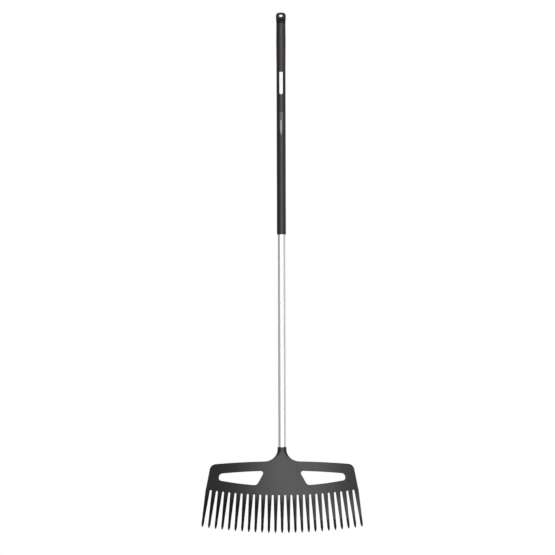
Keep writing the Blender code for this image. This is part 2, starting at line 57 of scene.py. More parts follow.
TINES = 25
FAN_HALF_ANGLE = math.radians(8.91)
BOW_RADIUS = 0.52
FACE_Y = HEAD_LOW[1]
SHEET = 0.0036
GAP = 0.0003  # clearance between neighbouring pieces
EDGE = 0.0008  # rounding of the moulding's edges
ROOT_ARC_RADIUS, ROOT_ARC_BOTTOM = 1.84, -1.5668
TIP_ARC_RADIUS, TIP_ARC_BOTTOM = 1.92, HEAD_LOW[2]
TINE_HALF_ROOT, TINE_HALF_TIP = 0.0074, 0.0043
TINE_TAPER_LENGTH = 0.095
TINE_POINT, TINE_NOSE = 0.014, 0.0045
POINT_TURN_IN = 0.25  # the share of the point over which its sides turn inwards
POINT_TAPER = 0.62  # how much narrower the point gets, as a share of the tine
NOSE_POWER = 2.4  # 2 would be a half ellipse; more is blunter
# how far the tines lean back, in degrees, at distances past their roots
TINE_BENDS = [(0.0, 0.0), (0.035, 15.0), (0.083, 22.0), (0.090, 46.0)]
KNEE_START = TINE_BENDS[2][0]
PLATE_CREST, PLATE_TOP_RADIUS = -1.4566, 2.38
PLATE_CORNER = (0.2338, -1.4685)
PLATE_SIDE = (0.2491, -1.5459)
PLATE_CORNER_ROUND, PLATE_SIDE_ROUND = 0.022, 0.120
WINDOW_TOP_CREST, WINDOW_BOTTOM_CREST = -1.4874, -1.5382
WINDOW_TOP_RADIUS, WINDOW_BOTTOM_RADIUS = 1.98, 1.144
WINDOW_INNER_TOP, WINDOW_INNER_BOTTOM, WINDOW_OUTER = 0.0568, 0.0826, 0.2066
WINDOW_INNER_TOP_ROUND, WINDOW_INNER_BOTTOM_ROUND = 0.007, 0.015
WINDOW_OUTER_TOP_ROUND, WINDOW_OUTER_BOTTOM_ROUND = 0.0135, 0.0080
RIM_WIDTH, RIM_DEPTH, RIM_FOOT = 0.0030, 0.0080, -0.0050
TINE_RIB_HALF, TINE_RIB_LENGTH, SLANT_HALF = 0.0013, 0.100, 0.0013
DRAFT = 0.00025  # how far the ribs' walls slope outwards
NECK_RADIUS, SOCKET_RADIUS, SOCKET_BORE = 0.0151, 0.01485, 0.0128
FLARE_TOP, FLARE_WIDTH, FLARE_HEIGHT = -1.4195, 0.045, 0.038
SOCKET_RIM, SOCKET_FLOOR, SOCKET_BOTTOM = HEAD_HIGH[2], -1.4973, -1.5010
SCREW_HEIGHTS = (-1.4400, -1.4800)
BOSS_RADIUS, BOSS_FACE_Y, SCREW_SEAT_Y = 0.0068, 0.0178, 0.0150
SCREW_HOLE_RADIUS, SCREW_SEAT_RADIUS = 0.00195, 0.0045

TUBE_RADIUS, TUBE_WALL = TUBE_HIGH[0], 0.0012
SPIGOT_RADIUS, BARB_RADIUS, SPIGOT_FOOT = 0.0107, 0.01105, CAP_LOW[2]
GRIP_BORE = 0.01275
# the sleeve's outer radius at heights from its top to its foot
GRIP_STATIONS = [
    (GRIP_HIGH[2], 0.01515), (-0.0900, 0.01560), (-0.1700, 0.01500), (-0.2600, 0.01490),
    (-0.4500, 0.01490), (-0.6300, 0.01475), (-0.6600, 0.01490), (GRIP_LOW[2], 0.01490),
]
CAP_BOTTOM, CAP_WIDEST, CHEEK_Y = GRIP_HIGH[2] + GAP, -0.0040, 0.0105
CAP_HOLLOW_TOP = -0.0230
BARB_HEIGHTS = (-0.034, -0.046, -0.058)
HOLE_WIDTH, HOLE_HEIGHT, HOLE_MIDDLE, LINER_WALL = 0.0105, 0.0070, -0.0009, 0.0020
SCREW_HEAD_RADIUS, SCREW_HEAD_TOP, SCREW_RADIUS = 0.0040, 0.0176, 0.00165

# ---------------------------------------------------------------- the head's curves


def arc_distance(angle, bottom, radius):
    """How far along a ray of the fan an arc lies whose lowest point is at x = 0."""
    centre = bottom + radius
    return math.sqrt(radius**2 - (centre * math.sin(angle)) ** 2) - centre * math.cos(angle)


def fan_point(angle, past_root, across=0.0):
    """The point (x, z) on a ray of the fan, past the roots' arc and off to one side."""
    reach = arc_distance(angle, ROOT_ARC_BOTTOM, ROOT_ARC_RADIUS) + past_root
    return (
        reach * math.sin(angle) + across * math.cos(angle),
        -reach * math.cos(angle) + across * math.sin(angle),
    )


def past_root(x, z):
    """How far points lie below the tine roots, along their rays of the fan."""
    angle = np.arctan2(x, -z)
    centre = ROOT_ARC_BOTTOM + ROOT_ARC_RADIUS
    root = np.sqrt(ROOT_ARC_RADIUS**2 - (centre * np.sin(angle)) ** 2)
    return np.hypot(x, z) - (root - centre * np.cos(angle))


def tine_length(angle):
    tip = arc_distance(angle, TIP_ARC_BOTTOM, TIP_ARC_RADIUS)
    return tip - arc_distance(angle, ROOT_ARC_BOTTOM, ROOT_ARC_RADIUS)


def tine_lean(s):
    """How far behind the plate the tines lie, along the arcs between their bends."""
    lean = np.zeros_like(s)
    for (start, low), (end, high) in zip(TINE_BENDS, TINE_BENDS[1:]):
        run = np.clip(s - start, 0.0, end - start)
        first, last = math.sin(math.radians(low)), math.sin(math.radians(high))
        slope = (last - first) / (end - start)
        reached = np.arcsin(first + slope * run)
        lean += (math.cos(math.radians(low)) - np.cos(reached)) / slope
    end, high = TINE_BENDS[-1]
    return lean + np.clip(s - end, 0.0, None) * math.tan(math.radians(high))


def tine_angle(index):
    return FAN_HALF_ANGLE * (2 * index / (TINES - 1) - 1)


def tine_half_width(s, length):
    """Half a tine's width: a long taper, a shorter one, and a blunt rounded point."""
    half = TINE_HALF_ROOT + (TINE_HALF_TIP - TINE_HALF_ROOT) * min(s / TINE_TAPER_LENGTH, 1.0)
    share = max(s - length + TINE_POINT, 0.0) / TINE_POINT
    if share < POINT_TURN_IN:
        half *= 1.0 - POINT_TAPER * share * share / (2 * POINT_TURN_IN)
    else:
        half *= 1.0 - POINT_TAPER * (share - POINT_TURN_IN / 2)
    round_off = max(s - length + TINE_NOSE, 0.0) / TINE_NOSE
    return half * math.sqrt(max(1.0 - round_off**NOSE_POWER, 0.0))


def arch(x_start, x_end, crest, radius, upward=False, steps=7):
    """Points along a shallow arc whose crest, or lowest point if upward, is at x = 0."""
    sign = 1.0 if upward else -1.0
    spots = [x_start + (x_end - x_start) * i / steps for i in range(steps + 1)]
    return [(x, crest + sign * (radius - math.sqrt(radius**2 - x * x))) for x in spots]


def rounded(corners, steps=10):
    """An outline through corners (x, z, radius), each turned with a round of its radius."""
    points = []
    for i, (x, z, radius) in enumerate(corners):
        here = Vector((x, z))
        if radius <= 0.0:
            points.append((x, z))
            continue
        back = Vector(corners[i - 1][:2]) - here
        ahead = Vector(corners[(i + 1) % len(corners)][:2]) - here
        half = back.angle(ahead) / 2
        towards = (back.normalized() + ahead.normalized()).normalized()
        centre = here + towards * radius / math.sin(half)
        first = here + back.normalized() * radius / math.tan(half) - centre
        last = here + ahead.normalized() * radius / math.tan(half) - centre
        sweep = first.angle_signed(last)
        for step in range(steps + 1):
            spot = centre + Matrix.Rotation(-sweep * step / steps, 2) @ first
            points.append((spot.x, spot.y))
    return points


def inset(points, distance):
    """The same outline moved inwards, for one that runs anticlockwise."""
    moved = []
    for i, point in enumerate(points):
        here = Vector(point)
        before = (here - Vector(points[i - 1])).normalized()
        after = (Vector(points[(i + 1) % len(points)]) - here).normalized()
        across = Vector((-before.y - after.y, before.x + after.x)).normalized()
        shrink = max(across.dot(Vector((-before.y, before.x))), 0.3)
        spot = here + across * distance / shrink
        moved.append((spot.x, spot.y))
    return moved


def flare_half_width(z):
    """Half the neck's width at a height, along its quarter-ellipse flare."""
    drop = np.clip((FLARE_TOP - z) / FLARE_HEIGHT, 0.0, 1.0)
    return NECK_RADIUS + FLARE_WIDTH * (1.0 - np.sqrt(1.0 - drop * drop))


def top_edge():
    """The plate's top edge from right to left, up round the neck."""
    x_top = PLATE_CORNER[0] - 0.020
    depths = [FLARE_HEIGHT * math.sin(math.pi / 2 * step / 22) for step in range(21, -1, -1)]
    flare = [(float(flare_half_width(FLARE_TOP - depth)), FLARE_TOP - depth) for depth in depths]
    side = arch(x_top, flare[0][0] + 0.004, PLATE_CREST, PLATE_TOP_RADIUS, steps=26)
    right = side + [point for point in flare if point[1] > PLATE_CREST - 0.0004]
    return right + [(-x, z) for x, z in reversed(right)]


def head_outline(bottom):
    """The plate's outline, anticlockwise, above a lower edge given from left to right."""
    x, z = PLATE_CORNER
    corners = [(across, up, 0.0) for across, up in top_edge()]
    corners += [(-x, z, PLATE_CORNER_ROUND), *bottom, (x, z, PLATE_CORNER_ROUND)]
    return rounded(corners)


def tine_points(index):
    """A tine's outline down one side and up the other, and the round end of the gap."""
    angle = tine_angle(index)
    pitch = 2 * FAN_HALF_ANGLE / (TINES - 1)
    root = arc_distance(angle, ROOT_ARC_BOTTOM, ROOT_ARC_RADIUS)
    gap = pitch * root / 2 - TINE_HALF_ROOT
    length = tine_length(angle)
    nose = length - TINE_NOSE
    stations = [gap + (KNEE_START - gap) * i / 20 for i in range(21)]
    stations += [KNEE_START + (nose - KNEE_START) * i / 14 for i in range(1, 15)]
    stations += [nose + TINE_NOSE * math.sin(math.pi / 2 * i / 7) for i in range(1, 7)]
    side = [(s, tine_half_width(s, length)) for s in stations]
    points = [fan_point(angle, s, -half) for s, half in side]
    points.append(fan_point(angle, length))
    points += [fan_point(angle, s, half) for s, half in reversed(side)]
    if index < TINES - 1:
        middle = angle + pitch / 2
        for step in range(1, 12):
            turn = math.pi * step / 12
            points.append(fan_point(middle, gap - gap * math.sin(turn), -gap * math.cos(turn)))
    return points


def comb_outline():
    x, z = PLATE_SIDE
    tines = [(*point, 0.0) for index in range(TINES) for point in tine_points(index)]
    return head_outline([(-x, z, PLATE_SIDE_ROUND), *tines, (x, z, PLATE_SIDE_ROUND)])


def field_outline():
    """The plate's thin field, inside the rim on its back."""
    foot = [
        (*fan_point(FAN_HALF_ANGLE * (2 * i / 96 - 1), RIM_FOOT), 0.0) for i in range(97)
    ]
    first = (*fan_point(tine_angle(0), RIM_FOOT, -TINE_HALF_ROOT), 0.0030)
    last = (*fan_point(tine_angle(TINES - 1), RIM_FOOT, TINE_HALF_ROOT), 0.0030)
    return head_outline([first, *foot[1:-1], last])


def window_outline(side):
    """One window, anticlockwise; side is 1 for the right and -1 for the left."""
    drop = WINDOW_OUTER**2 / (2 * WINDOW_TOP_RADIUS)
    rise = WINDOW_OUTER**2 / (2 * WINDOW_BOTTOM_RADIUS)
    top = arch(0.185, 0.075, WINDOW_TOP_CREST, WINDOW_TOP_RADIUS, steps=24)
    bottom = arch(
        0.104, 0.188, WINDOW_BOTTOM_CREST, WINDOW_BOTTOM_RADIUS, upward=True, steps=20
    )
    corners = [(WINDOW_OUTER, WINDOW_TOP_CREST - drop, WINDOW_OUTER_TOP_ROUND)]
    corners += [(x, z, 0.0) for x, z in top]
    inner_top, inner_bottom = WINDOW_TOP_CREST - 0.0008, WINDOW_BOTTOM_CREST + 0.0030
    corners.append((WINDOW_INNER_TOP, inner_top, WINDOW_INNER_TOP_ROUND))
    corners.append((WINDOW_INNER_BOTTOM, inner_bottom, WINDOW_INNER_BOTTOM_ROUND))
    corners += [(x, z, 0.0) for x, z in bottom]
    corners.append((WINDOW_OUTER, WINDOW_BOTTOM_CREST + rise, WINDOW_OUTER_BOTTOM_ROUND))
    points = rounded(corners)
    return points if side > 0 else [(-x, z) for x, z in reversed(points)]


# ---------------------------------------------------------------- the head's sheet and ribs


def segments(loops):
    """Starts and ends of every side of closed loops, as two arrays."""
    starts = np.array([point for loop in loops for point in loop])
    ends = np.array([point for loop in loops for point in loop[1:] + loop[:1]])
    return starts, ends


def distance(points, starts, ends):
    """Each point's distance to the nearest segment."""
    along = ends - starts
    length = np.maximum((along**2).sum(1), 1e-18)
    nearest = np.empty(len(points))
    for first in range(0, len(points), 2000):
        part = points[first : first + 2000, None, :] - starts[None]
        share = np.clip((part * along[None]).sum(2) / length[None], 0.0, 1.0)
        gap = part - share[..., None] * along[None]
        nearest[first : first + 2000] = np.sqrt((gap**2).sum(2).min(1))
    return nearest


def inside(points, loop):
    """Which points lie inside a closed loop."""
    starts, ends = segments([loop])
    result = np.zeros(len(points), bool)
    for first in range(0, len(points), 4000):
        x = points[first : first + 4000, None, 0]
        z = points[first : first + 4000, None, 1]
        straddles = (starts[None, :, 1] > z) != (ends[None, :, 1] > z)
        rise = ends[:, 1] - starts[:, 1]
        rise = np.where(rise == 0.0, 1e-18, rise)
        at = starts[:, 0] + (z - starts[:, 1]) * (ends[:, 0] - starts[:, 0]) / rise
        result[first : first + 4000] = (straddles & (x < at)).sum(1) % 2 == 1
    return result


def smooth(value):
    value = np.clip(value, 0.0, 1.0)
    return value * value * (3.0 - 2.0 * value)


def slanted_lines():
    """The two ribs that run from the socket's foot out to the tines."""
    return [((side * 0.005, SOCKET_FLOOR), (side * 0.0850, -1.5590)) for side in (-1, 1)]


def band(distances, half):
    """1 on a rib of that half width, 0 beside it, with a drafted wall between."""
    return np.clip((half + DRAFT - distances) / DRAFT, 0.0, 1.0)


def off_tine_middle(x, z):
    """Each point's distance to the nearest tine's middle line."""
    angle = np.arctan2(x, -z)
    index = np.clip(np.rint((angle / FAN_HALF_ANGLE + 1) * (TINES - 1) / 2), 0, TINES - 1)
    middle = FAN_HALF_ANGLE * (2 * index / (TINES - 1) - 1)
    return np.abs(np.sin(angle - middle)) * np.hypot(x, z)


def sheet_grid(outline, windows, edge_starts, edge_ends):
    """Points inside the sheet, so that its curves stay smooth."""
    spots = []
    for z in np.arange(-1.459, PLATE_SIDE[1] - 0.030, -0.0042):
        spots += [(x, z) for x in np.arange(-0.2496, 0.25, 0.0048)]
    for z in np.arange(FLARE_TOP - 0.0012, -1.4585, -0.0016):
        half = float(flare_half_width(z))
        spots += [(half * math.sin(math.pi / 2 * k / 14), z) for k in range(-13, 14)]
    for index in range(TINES):
        angle = tine_angle(index)
        for s in np.arange(-0.004, tine_length(angle) - 0.0045, 0.0032):
            spots += [fan_point(angle, s, across) for across in (-0.0021, 0.0, 0.0021)]
    spots = np.array(spots)
    keep = inside(spots, outline)
    for window in windows:
        keep &= ~inside(spots, window)
    keep &= distance(spots, edge_starts, edge_ends) > EDGE * 1.5
    return spots[keep]


def sheet_loops(outline, windows):
    """The sheet's outlines, and the lines where its edges' rounds and its rim begin."""
    loops = [outline, *windows]
    for step in (0.12, 0.45, 1.0):
        loops.append(inset(outline, EDGE * step))
        loops += [inset(window, -EDGE * step) for window in windows]
    field = field_outline()
    for width in (RIM_WIDTH, RIM_WIDTH + DRAFT):
        loops.append(inset(field, width))
        loops += [inset(window, -width) for window in windows]
    return loops


def rib_lines():
    """Open lines along the ribs' tops and feet, so that their walls come out straight."""
    reach = FAN_HALF_ANGLE + 0.0040
    lines = [
        [fan_point(reach * (i / 150 - 1), past) for i in range(301)]
        for past in (RIM_FOOT, RIM_FOOT + DRAFT)
    ]
    stations = [RIM_FOOT + (TINE_RIB_LENGTH - RIM_FOOT) * i / 28 for i in range(29)]
    for index in range(TINES):
        angle = tine_angle(index)
        for half in (TINE_RIB_HALF, TINE_RIB_HALF + DRAFT):
            for side in (-1, 1):
                lines.append([fan_point(angle, s, side * half) for s in stations])
    for (x_a, z_a), (x_b, z_b) in slanted_lines():
        along = Vector((x_b - x_a, z_b - z_a)).normalized()
        for half in (-SLANT_HALF - DRAFT, -SLANT_HALF, SLANT_HALF, SLANT_HALF + DRAFT):
            shift = Vector((-along.y, along.x)) * half
            lines.append([
                (x_a + (x_b - x_a) * i / 16 + shift.x, z_a + (z_b - z_a) * i / 16 + shift.y)
                for i in range(17)
            ])
    return lines


def triangulated(points, edges, outline, windows):
    """Triangles over the points that keep the edges, inside the outline only."""
    flat, _, faces, _, _, _ = delaunay_2d_cdt(
        [Vector(point) for point in points], edges, [], 0, 1e-6
    )
    flat = np.array([tuple(point) for point in flat])
    faces = np.array([tuple(face) for face in faces])
    middles = flat[faces].mean(1)
    keep = inside(middles, outline)
    for window in windows:
        keep &= ~inside(middles, window)
    faces = faces[keep]
    used = np.unique(faces)
    place = np.full(len(flat), -1)
    place[used] = np.arange(len(used))
    return flat[used], place[faces]


def sheet_mesh():
    """The plate and tines with their ribs, as one closed surface."""
    outline = comb_outline()
    windows = [window_outline(1), window_outline(-1)]
    starts, ends = segments([outline, *windows])
    # the neck's top is an open end, not a rounded edge
    top = (starts[:, 1] > FLARE_TOP - 1e-6) & (ends[:, 1] > FLARE_TOP - 1e-6)
    edge_starts, edge_ends = starts[~top], ends[~top]
    points, edges = [], []
    for loop in sheet_loops(outline, windows):
        first = len(points)
        points += loop
        edges += [(first + i, first + (i + 1) % len(loop)) for i in range(len(loop))]
    for line in rib_lines():
        first = len(points)
        points += line
        edges += [(first + i, first + i + 1) for i in range(len(line) - 1)]
    grid = sheet_grid(outline, windows, edge_starts, edge_ends)
    points += [tuple(point) for point in grid]
    flat, faces = triangulated(points, edges, outline, windows)
    front, back = sheet_heights(flat, edge_starts, edge_ends)
    return closed_sheet(flat, faces, front, back)


def sheet_heights(flat, edge_starts, edge_ends):
    """How far in front and behind each point of the sheet's two faces lies."""
    x, z = flat[:, 0], flat[:, 1]
    s = past_root(x, z)
    to_edge = distance(flat, edge_starts, edge_ends)
    share = smooth((FLARE_TOP - z) / FLARE_HEIGHT)
    radius = (NECK_RADIUS - 0.0004) + (EDGE - NECK_RADIUS) * share
    radius = np.maximum(radius, EDGE)
    inner = np.clip(radius - to_edge, 0.0, None)
    drop = radius - np.sqrt(radius**2 - inner**2)
    base = FACE_Y + x * x / (2 * BOW_RADIUS) + tine_lean(s)
    front = base + drop

    rim = band(to_edge, RIM_WIDTH) * np.clip((RIM_FOOT + DRAFT - s) / DRAFT, 0.0, 1.0)
    foot = band(np.abs(s - RIM_FOOT + RIM_WIDTH / 2), RIM_WIDTH / 2)
    rim = np.maximum(rim, foot)
    tine = band(off_tine_middle(x, z), TINE_RIB_HALF) * (s > RIM_FOOT - 0.0005)
    tine *= np.clip((TINE_RIB_LENGTH - s) / 0.003, 0.0, 1.0)
    lines = np.array(slanted_lines())
    slanted = band(distance(flat, lines[:, 0], lines[:, 1]), SLANT_HALF)
    slanted *= (s < RIM_FOOT) * (z < SOCKET_BOTTOM + 0.004)
    depth = RIM_DEPTH - np.clip(s / TINE_RIB_LENGTH, 0.0, 1.0) * 0.0035
    depth = np.where(share < 1.0, np.maximum(depth, NECK_RADIUS - 0.0071 * share), depth)
    rib = np.maximum(np.maximum(rim, tine), slanted)
    edge_round = EDGE * 0.6
    inner = np.clip(edge_round - to_edge, 0.0, None)
    back_drop = edge_round - np.sqrt(edge_round**2 - inner**2)
    back = base + SHEET + (depth - SHEET) * rib - back_drop
    return front, np.maximum(back, front + 0.0004)


def closed_sheet(flat, faces, front, back):
    """Front and back faces, joined by walls along every open edge."""
    count = len(flat)
    verts = [(x, y, z) for (x, z), y in zip(flat, front)]
    verts += [(x, y, z) for (x, z), y in zip(flat, back)]
    shape = bmesh.new()
    made = [shape.verts.new(v) for v in verts]
    seen = {}
    for a, b, c in faces:
        (xa, za), (xb, zb), (xc, zc) = flat[a], flat[b], flat[c]
        if (xb - xa) * (zc - za) - (xc - xa) * (zb - za) < 0:
            b, c = c, b
        shape.faces.new((made[a], made[b], made[c]))
        shape.faces.new((made[a + count], made[c + count], made[b + count]))
        for edge in ((a, b), (b, c), (c, a)):
            seen[edge] = True
    for a, b in seen:
        if (b, a) not in seen:
            shape.faces.new((made[b], made[a], made[a + count], made[b + count]))
    bmesh.ops.recalc_face_normals(shape, faces=shape.faces)
    mesh = bpy.data.meshes.new("rake_head_fine")
    shape.to_mesh(mesh)
    shape.free()
    return mesh


# ---------------------------------------------------------------- shape helpers


def new_object(name, mesh):
    made = bpy.data.objects.new(name, mesh)
    bpy.context.scene.collection.objects.link(made)
    return made


def skin(name, rings, loop=False):
    """A surface through rings of points; a ring of one point is a tip."""
    shape = bmesh.new()
    made = [[shape.verts.new(point) for point in ring] for ring in rings]
    pairs = list(zip(made, made[1:])) + ([(made[-1], made[0])] if loop else [])
    for upper, lower in pairs:
        count = max(len(upper), len(lower))
        for i in range(count):
            j = (i + 1) % count
            corners = [upper[i % len(upper)], upper[j % len(upper)]]
            corners += [lower[j % len(lower)], lower[i % len(lower)]]
            shape.faces.new(list(dict.fromkeys(corners)))
    bmesh.ops.recalc_face_normals(shape, faces=shape.faces)
    mesh = bpy.data.meshes.new(name)
    shape.to_mesh(mesh)
    shape.free()
    return mesh


def turned_mesh(name, profile, steps=96):
    """A closed mesh turned about Z from (radius, height) pairs."""
    turns = [2 * math.pi * i / steps for i in range(steps)]
    rings = [
        [(radius * math.cos(t), radius * math.sin(t), height) for t in turns]
        if radius > 1e-7 else [(0.0, 0.0, height)]
        for radius, height in profile
    ]
    return skin(name, rings, loop=len(rings[0]) > 1)


def bar_mesh(name, radius, y_low, y_high, height, sides=48):
    mesh = bpy.data.meshes.new(name)
    shape = bmesh.new()
    place = Matrix.Translation((0.0, (y_low + y_high) / 2, height)) @ Matrix.Rotation(
        math.pi / 2, 4, "X"
    )
    bmesh.ops.create_cone(
        shape, cap_ends=True, segments=sides, radius1=radius, radius2=radius,
        depth=y_high - y_low, matrix=place,
    )
    shape.to_mesh(mesh)
    shape.free()
    return mesh


def cut(target, mesh, operation):
    """Applies one Boolean to an object's mesh."""
    other = new_object("cutter", mesh)
    step = target.modifiers.new("boolean", "BOOLEAN")
    step.operation = operation
    step.solver = "EXACT"
    step.object = other
    bpy.context.view_layer.update()
    shaped = target.evaluated_get(bpy.context.evaluated_depsgraph_get())
    result = bpy.data.meshes.new_from_object(shaped)
    target.modifiers.clear()
    target.data = result
    bpy.data.objects.remove(other, do_unlink=True)


def finish_piece(piece, node, material, sharp=35.0):
    piece.data.shade_smooth()
    piece.data.set_sharp_from_angle(angle=math.radians(sharp))
    piece.data.materials.clear()
    piece.data.materials.append(material)
    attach(piece, "root")
    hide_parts(node)
    return piece


# ---------------------------------------------------------------- pieces


def make_head(material):
    core = new_object("core", turned_mesh("socket", [
        (0.0, SOCKET_RIM),
        (SOCKET_RADIUS - 0.0007, SOCKET_RIM),
        (SOCKET_RADIUS - 0.0002, SOCKET_RIM - 0.0002),
        (SOCKET_RADIUS, SOCKET_RIM - 0.0007),
        (SOCKET_RADIUS, SOCKET_BOTTOM + 0.0040),
        (SOCKET_RADIUS - 0.0009, SOCKET_BOTTOM + 0.0017),
        (SOCKET_RADIUS - 0.0030, SOCKET_BOTTOM + 0.0003),
        (SOCKET_RADIUS - 0.0050, SOCKET_BOTTOM),
        (0.0, SOCKET_BOTTOM),
    ], 72))
    for height in SCREW_HEIGHTS:
        cut(core, bar_mesh("boss", BOSS_RADIUS, 0.009, BOSS_FACE_Y, height), "UNION")
    head = new_object("rake_head_fine", sheet_mesh())
    cut(head, core.data, "UNION")
    bpy.data.objects.remove(core, do_unlink=True)
    cut(head, keel_mesh(), "UNION")
    cut(head, turned_mesh("bore", [
        (0.0, SOCKET_RIM + 0.005),
        (SOCKET_BORE, SOCKET_RIM + 0.005),
        (SOCKET_BORE, SOCKET_FLOOR),
        (0.0, SOCKET_FLOOR),
    ], 72), "DIFFERENCE")
    for height in SCREW_HEIGHTS:
        cut(head, bar_mesh("hole", SCREW_HOLE_RADIUS, 0.006, 0.020, height, 28), "DIFFERENCE")
        seat = bar_mesh("seat", SCREW_SEAT_RADIUS, SCREW_SEAT_Y, 0.020, height, 40)
        cut(head, seat, "DIFFERENCE")
    return finish_piece(head, "rake_head", material)


def keel_mesh():
    """The upright web below the socket, deep at the socket and shallow at the tines."""
    face = FACE_Y + 0.0015
    low = FACE_Y + RIM_DEPTH - 0.0003
    outline = [(face, -1.4990), (face, -1.5610), (low, -1.5610), (0.0100, -1.4990)]
    shape = bmesh.new()
    sides = [[shape.verts.new((x, y, z)) for y, z in outline] for x in (-0.0015, 0.0015)]
    shape.faces.new(sides[0])
    shape.faces.new(reversed(sides[1]))
    for i in range(4):
        j = (i + 1) % 4
        shape.faces.new((sides[0][j], sides[0][i], sides[1][i], sides[1][j]))
    bmesh.ops.recalc_face_normals(shape, faces=shape.faces)
    mesh = bpy.data.meshes.new("keel")
    shape.to_mesh(mesh)
    shape.free()
    return mesh


def make_tube(material):
    lip = 0.0002
    inner = TUBE_RADIUS - TUBE_WALL
    top, bottom = TUBE_HIGH[2], TUBE_LOW[2]
    tube = new_object("shaft_tube_fine", turned_mesh("shaft_tube", [
        (TUBE_RADIUS - lip, top),
        (TUBE_RADIUS, top - lip),
        (TUBE_RADIUS, bottom + lip),
        (TUBE_RADIUS - lip, bottom),
        (inner + lip, bottom),
        (inner, bottom + lip),
        (inner, top - lip),
        (inner + lip, top),
    ], 128))
    for height in SCREW_HEIGHTS:
        hole = bar_mesh("hole", SCREW_HOLE_RADIUS, 0.008, 0.014, height, 28)
        cut(tube, hole, "DIFFERENCE")
    return finish_piece(tube, "shaft_tube", material)


def sleeve_radius(height):
    """The sleeve's outer radius, eased from each station to the next."""
    for (upper, first), (lower, last) in zip(GRIP_STATIONS, GRIP_STATIONS[1:]):
        if height >= lower:
            share = (upper - height) / (upper - lower)
            return first + (last - first) * float(smooth(share))
    return GRIP_STATIONS[-1][1]


def make_sleeve(material):
    """A thin sleeve with a rolled lip at its foot."""
    top, bottom = GRIP_HIGH[2], GRIP_LOW[2]
    heights = [top - 0.0003 + (bottom + 0.0012 - top) * i / 110 for i in range(111)]
    profile = [(sleeve_radius(top) - 0.0003, top)]
    profile += [(sleeve_radius(height), height) for height in heights]
    edge = sleeve_radius(bottom)
    profile += [
        (edge - 0.0008 * (1 - math.cos(turn)), bottom + 0.0008 * (1 - math.sin(turn)))
        for turn in [math.pi / 2 * i / 5 for i in range(6)]
    ]
    profile += [(GRIP_BORE, bottom), (GRIP_BORE, top)]
    sleeve = new_object("grip_sleeve_fine", turned_mesh("grip_sleeve", profile, 112))
    return finish_piece(sleeve, "grip_sleeve", material)


def label_ring(width, height, outside, thickness):
    """A section through the label: its face, its thin edges and its back."""
    edge = 0.00006

    def spot(x, depth):
        return (x, -math.sqrt((outside - depth) ** 2 - x * x), height)

    face = [spot((width - edge) * (i / 10 - 1), 0.0) for i in range(21)]
    back = [spot((width - edge) * (1 - i / 10), thickness) for i in range(21)]
    right = [spot(width, edge), spot(width, thickness - edge)]
    left = [spot(-width, thickness - edge), spot(-width, edge)]
    return face + right + back + left


def make_label(material):
    """A blank film sticker bent round the grip, square above and round below."""
    half, outside, thickness, corner = LABEL_HIGH[0], 0.01545, 0.00022, 0.0007
    top, bottom = LABEL_HIGH[2], LABEL_LOW[2]
    tip = (0.0, -outside + thickness / 2)
    rings = [[(*tip, top)]]
    for turn in [math.pi / 2 * i / 6 for i in range(7)]:
        width = half - corner * (1 - math.sin(turn))
        rings.append(label_ring(width, top - corner * (1 - math.cos(turn)), outside, thickness))
    run = top - corner - bottom - half
    for i in range(1, 25):
        rings.append(label_ring(half, top - corner - run * i / 24, outside, thickness))
    for turn in [math.pi / 2 * i / 14 for i in range(1, 14)]:
        height = bottom + half * (1 - math.sin(turn))
        rings.append(label_ring(half * math.cos(turn), height, outside, thickness))
    label = new_object("care_label_fine", skin("care_label", [*rings, [(*tip, bottom)]]))
    return finish_piece(label, "care_label", material)


def stadium(grow, y, steps=16):
    """The hanging slot's outline at a depth, grown outwards by a distance."""
    radius = HOLE_HEIGHT / 2 + grow
    run = (HOLE_WIDTH - HOLE_HEIGHT) / 2
    ring = []
    for side, start in ((1, -math.pi / 2), (-1, math.pi / 2)):
        for step in range(steps + 1):
            turn = start + math.pi * step / steps
            across, up = side * run + radius * math.cos(turn), radius * math.sin(turn)
            ring.append((across, y, HOLE_MIDDLE + up))
    return ring


def make_eyelet(material):
    """The slot's liner, with a rounded mouth at both ends."""
    reach, mouth, rim = CHEEK_Y + GAP, 0.0009, 0.0003
    front = [(0.0, -reach + mouth + 0.004)]
    for turn in [math.pi / 2 * i / 6 for i in range(7)]:
        front.append((mouth * (1 - math.cos(turn)), -reach + mouth * (1 - math.sin(turn))))
    for turn in [math.pi / 2 * i / 4 for i in range(5)]:
        front.append((
            LINER_WALL - rim * (1 - math.sin(turn)), -reach + rim * (1 - math.cos(turn))
        ))
    section = front + [(grow, -y) for grow, y in reversed(front)]
    mesh = skin("hang_eyelet", [stadium(grow, y) for grow, y in section], loop=True)
    return finish_piece(
        new_object("hang_eyelet_fine", mesh), "hang_eyelet", material
    )


def cheek(y, height):
    """A depth y drawn in towards the cap's flat cheeks, with a soft turn at their edge."""
    limit = CHEEK_Y + 0.0078 * float(smooth((-0.0110 - height) / 0.0110))
    soft = 0.0014
    near = max(soft - abs(abs(y) - limit), 0.0) / soft
    return math.copysign(min(abs(y), limit) - near * near * soft / 4, y)


